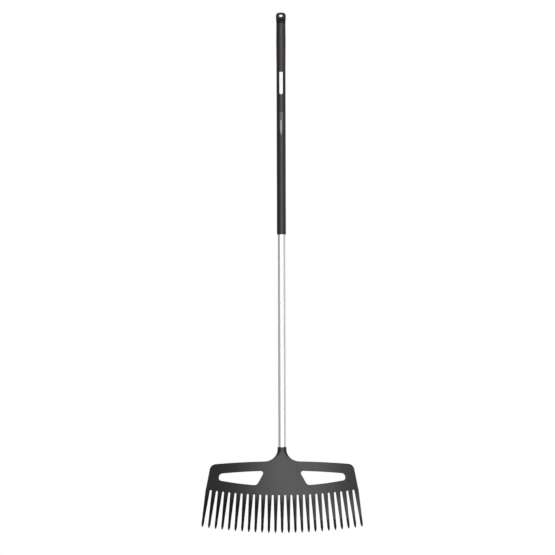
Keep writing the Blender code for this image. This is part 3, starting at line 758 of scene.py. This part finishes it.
def make_cap(material):
    """A domed cap with flat cheeks and a slot, on a barbed hollow spigot."""
    rise = CAP_HIGH[2] - CAP_WIDEST
    wide = CAP_HIGH[0]
    turns = [math.pi / 2 * i / 22 for i in range(23)]
    profile = [
        (wide * math.sin(turn) ** (2 / 3), CAP_WIDEST + rise * math.cos(turn) ** (2 / 3))
        for turn in turns[:-1]
    ]
    fall = CAP_WIDEST - CAP_BOTTOM - 0.0005
    for share in [i / 14 for i in range(15)]:
        profile.append((wide - 0.0009 * float(smooth(share)), CAP_WIDEST - fall * share))
    profile += [(wide - 0.0011, CAP_BOTTOM + 0.0001), (wide - 0.0013, CAP_BOTTOM)]
    profile.append((SPIGOT_RADIUS, CAP_BOTTOM))
    for height in BARB_HEIGHTS:
        profile += [(SPIGOT_RADIUS, height), (BARB_RADIUS, height - 0.0004)]
        profile.append((SPIGOT_RADIUS, height - 0.0045))
    hollow = SPIGOT_RADIUS - 0.0022
    profile += [(SPIGOT_RADIUS, SPIGOT_FOOT), (hollow, SPIGOT_FOOT), (hollow, CAP_HOLLOW_TOP)]
    mesh = turned_mesh("end_cap", [*profile, (0.0, CAP_HOLLOW_TOP)])
    for corner in mesh.vertices:
        corner.co.y = cheek(corner.co.y, corner.co.z)
    cap = new_object("end_cap_fine", mesh)
    room, lip = LINER_WALL + GAP, 0.0006
    rings = [[(0.0, -0.02, HOLE_MIDDLE)], stadium(room + lip, -0.02)]
    mouth = [
        (room + lip * (1 - math.sin(turn)), -CHEEK_Y + lip * (1 - math.cos(turn)))
        for turn in [math.pi / 2 * i / 5 for i in range(6)]
    ]
    rings += [stadium(grow, y) for grow, y in mouth]
    rings += [[(x, -y, z) for x, y, z in ring] for ring in reversed(rings)]
    cut(cap, skin("slot", rings), "DIFFERENCE")
    return finish_piece(cap, "end_cap", material, sharp=28.0)


def recess_mesh(turn):
    """One bar of a screw's cross recess, narrower at its foot."""
    mesh = bpy.data.meshes.new("recess")
    shape = bmesh.new()
    size = Matrix.Diagonal((0.0046, 0.0010, 0.0032, 1.0))
    bmesh.ops.create_cube(shape, size=1.0, matrix=size)
    for corner in shape.verts:
        if corner.co.z < 0.0:
            corner.co.x *= 0.45
            corner.co.y *= 0.60
    place = Matrix.Translation((0.0, 0.0, SCREW_HEAD_TOP)) @ Matrix.Rotation(turn, 4, "Z")
    shape.transform(place)
    shape.to_mesh(mesh)
    shape.free()
    return mesh


def make_screw(node, height, material):
    """A pan-head screw with a cross recess, driven in from the back."""
    top, seat, radius = SCREW_HEAD_TOP, SCREW_SEAT_Y + 0.0002, SCREW_HEAD_RADIUS
    dome = [
        (radius * 0.5, top - 0.00004), (radius * 0.72, top - 0.0003),
        (radius * 0.88, top - 0.0008), (radius * 0.97, top - 0.0014), (radius, top - 0.0019),
    ]
    thread = []
    for turn in range(14):
        foot = 0.0075 - turn * 0.0006
        thread += [(SCREW_RADIUS, foot), (SCREW_RADIUS - 0.0003, foot - 0.0003)]
    screw = new_object(node + "_fine", turned_mesh(node, [
        (0.0, top), *dome, (radius, seat + 0.0001), (radius - 0.0001, seat),
        (SCREW_RADIUS, seat), *thread, (0.0, -0.0018),
    ], 48))
    for turn in (0.0, math.pi / 2):
        cut(screw, recess_mesh(turn + 0.35 + height * 9), "DIFFERENCE")
    screw.data.transform(
        Matrix.Translation((0.0, 0.0, height)) @ Matrix.Rotation(-math.pi / 2, 4, "X")
    )
    return finish_piece(screw, node, material, sharp=30.0)


# ---------------------------------------------------------------- materials


class Tree:
    """Short names for building any node tree."""

    def __init__(self, tree):
        self.tree = tree

    def node(self, kind):
        return self.tree.nodes.new("ShaderNode" + kind)

    def link(self, source, target):
        self.tree.links.new(source, target)

    def feed(self, socket, value):
        """Sets a socket to a number or a colour, or links it to an output."""
        if isinstance(value, tuple):
            socket.default_value = (*value, 1.0)
        elif isinstance(value, (int, float)):
            socket.default_value = value
        else:
            self.link(value, socket)

    def maths(self, operation, *values):
        node = self.node("Math")
        node.operation = operation
        for socket, value in zip(node.inputs, values):
            self.feed(socket, value)
        return node.outputs["Value"]

    def times(self, first, *others):
        for other in others:
            first = self.maths("MULTIPLY", first, other)
        return first

    def spread(self, value, low, high, to_low, to_high, smoothly=False):
        node = self.node("MapRange")
        node.interpolation_type = "SMOOTHSTEP" if smoothly else "LINEAR"
        self.link(value, node.inputs["Value"])
        limits = {"From Min": low, "From Max": high, "To Min": to_low, "To Max": to_high}
        for name, number in limits.items():
            node.inputs[name].default_value = number
        return node.outputs["Result"]

    def between(self, value, low, high, soft):
        """1 between two limits and 0 outside them, with soft edges."""
        rise = self.spread(value, low - soft, low + soft, 0.0, 1.0, True)
        fall = self.spread(value, high - soft, high + soft, 1.0, 0.0, True)
        return self.times(rise, fall)


class Nodes(Tree):
    """One material's node tree, on its Principled shader."""

    def __init__(self, name):
        self.material = bpy.data.materials.new(name)
        self.material.use_nodes = True
        super().__init__(self.material.node_tree)
        self.shader = self.tree.nodes["Principled BSDF"]
        self.place = self.node("TexCoord").outputs["Object"]
        self.base = None

    def colour(self, source):
        self.base = source
        self.link(source, self.shader.inputs["Base Color"])

    def noise(self, scale, stretch=(1, 1, 1), detail=3.0, roughness=0.5):
        mapping = self.node("Mapping")
        mapping.inputs["Scale"].default_value = stretch
        self.link(self.place, mapping.inputs["Vector"])
        node = self.node("TexNoise")
        node.inputs["Scale"].default_value = scale
        node.inputs["Detail"].default_value = detail
        node.inputs["Roughness"].default_value = roughness
        self.link(mapping.outputs["Vector"], node.inputs["Vector"])
        return node.outputs["Fac"]

    def axis(self, index):
        node = self.node("SeparateXYZ")
        self.link(self.place, node.inputs["Vector"])
        return node.outputs[index]

    def mix(self, share, first, second):
        node = self.node("Mix")
        node.data_type = "RGBA"
        for name, value in (("Factor", share), ("A", first), ("B", second)):
            self.feed(node.inputs[name], value)
        return node.outputs["Result"]

    def bump(self, height, strength, depth):
        node = self.node("Bump")
        node.inputs["Strength"].default_value = strength
        node.inputs["Distance"].default_value = depth
        self.link(height, node.inputs["Height"])
        self.link(node.outputs["Normal"], self.shader.inputs["Normal"])


def black_plastic(name, shade, roughness, specular=0.5, grain=1400.0):
    """Moulded black plastic: fine grain, cloudy sheen and faint scuffs."""
    nodes = Nodes(name)
    cloud = nodes.noise(9.0, detail=4.0)
    scuff = nodes.noise(60.0, (1.0, 1.0, 0.15), detail=5.0, roughness=0.65)
    tone = nodes.spread(cloud, 0.3, 0.7, 0.0, 1.0)
    nodes.colour(nodes.mix(
        tone,
        (shade * 0.88, shade * 0.88, shade * 0.92),
        (shade * 1.12, shade * 1.12, shade * 1.14),
    ))
    nodes.shader.inputs["Specular IOR Level"].default_value = specular
    rough = nodes.maths(
        "ADD",
        nodes.spread(cloud, 0.3, 0.7, roughness - 0.03, roughness + 0.03),
        nodes.spread(scuff, 0.55, 0.8, 0.0, 0.10),
    )
    nodes.link(rough, nodes.shader.inputs["Roughness"])
    nodes.bump(nodes.noise(grain, detail=2.0), 0.25, 0.00008)
    return nodes


def greyer_tip_patches(nodes):
    """The tines' lowest 45 mm turn greyer than the rest, in patches."""
    # greyer colour in noise patches, fading in by height towards the tines' ends
    reach = nodes.spread(nodes.axis(2), HEAD_LOW[2] + 0.045, HEAD_LOW[2], 0.0, 1.0, True)
    patches = nodes.spread(nodes.noise(220.0, detail=4.0, roughness=0.7), 0.45, 0.7, 0.0, 1.0)
    share = nodes.times(reach, patches, 0.5)
    nodes.colour(nodes.mix(share, nodes.base, (0.022, 0.021, 0.020)))


def printed_grip(nodes):
    """Two plain faded marks down the sleeve's front and a faint warm tint on its flanks."""
    x, y, z = nodes.axis(0), nodes.axis(1), nodes.axis(2)
    front = nodes.spread(y, -0.002, 0.002, 1.0, 0.0)
    patchy = nodes.spread(nodes.noise(700.0, detail=3.0), 0.25, 0.6, 0.82, 1.0)

    def mark(across, along, soft, colour, strength):
        area = nodes.times(nodes.between(x, *across, soft), nodes.between(z, *along, soft))
        share = nodes.times(area, front, patchy, strength)
        nodes.colour(nodes.mix(share, nodes.base, colour))

    mark((-0.0046, 0.0062), (-0.3403, -0.3148), 0.0004, (0.090, 0.082, 0.050), 1.0)
    for side in (-1, 1):
        flank = tuple(sorted((side * 0.0085, side * 0.0138)))
        mark(flank, (-0.1580, -0.1060), 0.0012, (0.045, 0.012, 0.012), 0.7)
    # the pale mark narrows to a point at its foot
    half = nodes.spread(z, -0.3920, -0.3720, 0.0006, 0.0036)
    off_axis = nodes.maths("SUBTRACT", nodes.maths("ABSOLUTE", x), half)
    pale = nodes.spread(off_axis, -0.0003, 0.0003, 1.0, 0.0, True)
    pale = nodes.times(pale, nodes.between(z, -0.3915, -0.3413, 0.0004), front, patchy)
    nodes.colour(nodes.mix(pale, nodes.base, (0.270, 0.265, 0.275)))


def film(name):
    """White printable film: faint fibres, with painted shade making its left and right edges a
    darker, warmer grey.
    """
    nodes = Nodes(name)
    fibres = nodes.noise(900.0, (1.0, 1.0, 0.3), detail=4.0, roughness=0.7)
    cloud = nodes.noise(40.0, detail=3.0)
    nodes.colour(nodes.mix(
        nodes.spread(fibres, 0.3, 0.7, 0.0, 1.0), (0.80, 0.80, 0.79), (0.88, 0.88, 0.87)
    ))
    # painted shade: darker, warmer grey towards the film's left and right edges
    side = nodes.spread(nodes.maths("ABSOLUTE", nodes.axis(0)), 0.0049, 0.0056, 0.0, 0.35)
    nodes.colour(nodes.mix(side, nodes.base, (0.70, 0.67, 0.60)))
    nodes.link(
        nodes.spread(cloud, 0.3, 0.7, 0.36, 0.48), nodes.shader.inputs["Roughness"]
    )
    nodes.bump(fibres, 0.12, 0.00003)
    return nodes


def dull_liner(name):
    """Orange-brown plastic, darker where dirt has settled."""
    nodes = Nodes(name)
    dirt = nodes.noise(260.0, detail=5.0, roughness=0.7)
    nodes.colour(nodes.mix(
        nodes.spread(dirt, 0.40, 0.66, 0.0, 0.8), (0.210, 0.120, 0.058), (0.060, 0.042, 0.030)
    ))
    nodes.link(nodes.spread(dirt, 0.3, 0.7, 0.38, 0.58), nodes.shader.inputs["Roughness"])
    nodes.bump(nodes.noise(1500.0, detail=2.0), 0.2, 0.00006)
    return nodes


def metal(name, shade, roughness, along, metallic=1.0):
    """Metal with fine lines along its length, or a faint mottle, and a cloudy sheen."""
    nodes = Nodes(name)
    stretch = (1.0, 1.0, 0.01) if along else (1.0, 1.0, 1.0)
    lines = nodes.noise(900.0, stretch, detail=4.0, roughness=0.7)
    cloud = nodes.noise(12.0, (1.0, 1.0, 0.3), detail=3.0)
    nodes.colour(nodes.mix(
        nodes.spread(lines, 0.3, 0.7, 0.0, 1.0),
        (shade * 0.94, shade * 0.945, shade * 0.955),
        (shade, shade, shade),
    ))
    nodes.shader.inputs["Metallic"].default_value = metallic
    rough = nodes.maths(
        "ADD",
        nodes.spread(lines, 0.3, 0.7, roughness - 0.04, roughness + 0.04),
        nodes.spread(cloud, 0.4, 0.7, 0.0, 0.04),
    )
    nodes.link(rough, nodes.shader.inputs["Roughness"])
    nodes.bump(lines, 0.15, 0.00004)
    return nodes


head_plastic = black_plastic("head_plastic", 0.008, 0.34)
# the tines' lowest part is made patchily greyer, ramped by height
greyer_tip_patches(head_plastic)
cap_plastic = black_plastic("cap_plastic", 0.006, 0.50, specular=0.22)
grip_plastic = black_plastic("grip_plastic", 0.008, 0.42)
printed_grip(grip_plastic)
aluminium = metal("aluminium", 0.90, 0.34, True, 0.8)
screw_steel = metal("screw_steel", 0.60, 0.30, False)
plug_plastic = black_plastic("plug_plastic", 0.30, 0.50)
label_film = film("label_film")
accent_plastic = dull_liner("accent_plastic")

make_head(head_plastic.material)
make_tube(aluminium.material)
make_sleeve(grip_plastic.material)
make_label(label_film.material)
make_eyelet(accent_plastic.material)
make_cap(cap_plastic.material)
for screw_node, screw_height in zip(("head_screw_upper", "head_screw_lower"), SCREW_HEIGHTS):
    make_screw(screw_node, screw_height, screw_steel.material)
# the plug is out of sight inside the tube and keeps its CAD shape
NODES["shaft_plug"].data.materials.clear()
NODES["shaft_plug"].data.materials.append(plug_plastic.material)

# ---------------------------------------------------------------- studio


# soft-edged bright patches of sky, in degrees from straight in front of the rake:
# (left, right, softness), (low, high, softness), brightness
SOFTBOXES = [
    ((-20, 34, 18), (-10, 24, 12), 3.9),
    ((-60, 70, 30), (-10, 70, 14), 0.75),
    ((22, 90, 18), (-60, -14, 12), 2.6),
    ((-35, 75, 15), (-78, -46, 8), 0.9),
    ((-220, -125, 15), (-60, 70, 20), 1.4),
    ((105, 220, 15), (-60, 70, 20), 0.6),
    ((-110, -60, 20), (-40, 75, 15), 0.3),
    ((70, 110, 20), (-20, 75, 15), 0.3),
]
AMBIENT = 0.05
FLOOR_RADIUS, FLOOR_DROP = 1.2, 0.26
CAMERA_DISTANCE, VIEW_HEIGHT = 25.0, 1.8143  # metres; the height that fills the frame
CAMERA_X, CAMERA_Z, CAMERA_ROLL = -0.01311, -0.8562, 0.150
SENSOR = 36.0


def make_world():
    """Softboxes light the rake, and the camera sees a plain white surround."""
    world = bpy.data.worlds.new("studio")
    world.use_nodes = True
    bpy.context.scene.world = world
    nodes = Tree(world.node_tree)
    nodes.tree.nodes.clear()
    split = nodes.node("SeparateXYZ")
    nodes.link(nodes.node("TexCoord").outputs["Generated"], split.inputs["Vector"])
    x, y, z = split.outputs
    azimuth = nodes.maths("ARCTAN2", x, nodes.times(y, -1.0))
    elevation = nodes.maths("ARCSINE", z)
    light = None
    for sides, heights, brightness in SOFTBOXES:
        across = nodes.between(azimuth, *map(math.radians, sides))
        up = nodes.between(elevation, *map(math.radians, heights))
        patch = nodes.times(across, up, brightness)
        light = patch if light is None else nodes.maths("ADD", light, patch)
    lit, plain = nodes.node("Background"), nodes.node("Background")
    nodes.link(nodes.maths("ADD", light, AMBIENT), lit.inputs["Strength"])
    nodes.feed(plain.inputs["Color"], (1.0, 1.0, 1.0))
    mix = nodes.node("MixShader")
    nodes.link(nodes.node("LightPath").outputs["Is Camera Ray"], mix.inputs["Fac"])
    nodes.link(lit.outputs["Background"], mix.inputs[1])
    nodes.link(plain.outputs["Background"], mix.inputs[2])
    nodes.link(mix.outputs["Shader"], nodes.node("OutputWorld").inputs["Surface"])


def make_floor():
    """A pale round floor below the hanging rake, fading out at its rim."""
    mesh = bpy.data.meshes.new("floor")
    shape = bmesh.new()
    bmesh.ops.create_circle(shape, cap_ends=True, segments=96, radius=FLOOR_RADIUS)
    shape.to_mesh(mesh)
    shape.free()
    floor = new_object("floor", mesh)
    floor.location = (0.0, 0.0, HEAD_LOW[2] - FLOOR_DROP)
    nodes = Nodes("floor")
    x, y = nodes.axis(0), nodes.axis(1)
    square = nodes.maths("ADD", nodes.times(x, x), nodes.times(y, y))
    fade = nodes.spread(square, 0.10, FLOOR_RADIUS**2, 1.0, 0.0, True)
    nodes.link(fade, nodes.shader.inputs["Alpha"])
    cloud = nodes.spread(nodes.noise(3.0, detail=3.0), 0.3, 0.7, 0.0, 1.0)
    nodes.colour(nodes.mix(cloud, (0.85, 0.85, 0.85), (0.88, 0.88, 0.88)))
    nodes.shader.inputs["Roughness"].default_value = 0.8
    mesh.materials.append(nodes.material)
    floor.visible_glossy = False
    floor.visible_diffuse = False


def make_camera():
    """A long lens far in front of the rake, level with its middle."""
    data = bpy.data.cameras.new("camera")
    data.sensor_width = SENSOR
    data.lens = SENSOR * CAMERA_DISTANCE / VIEW_HEIGHT
    data.clip_end = 100.0
    camera = new_object("camera", data)
    camera.location = (CAMERA_X, -CAMERA_DISTANCE, CAMERA_Z)
    camera.rotation_euler = (math.pi / 2, math.radians(CAMERA_ROLL), 0.0)
    bpy.context.scene.camera = camera


make_world()
make_floor()
make_camera()
bpy.context.scene.view_settings.view_transform = "Standard"
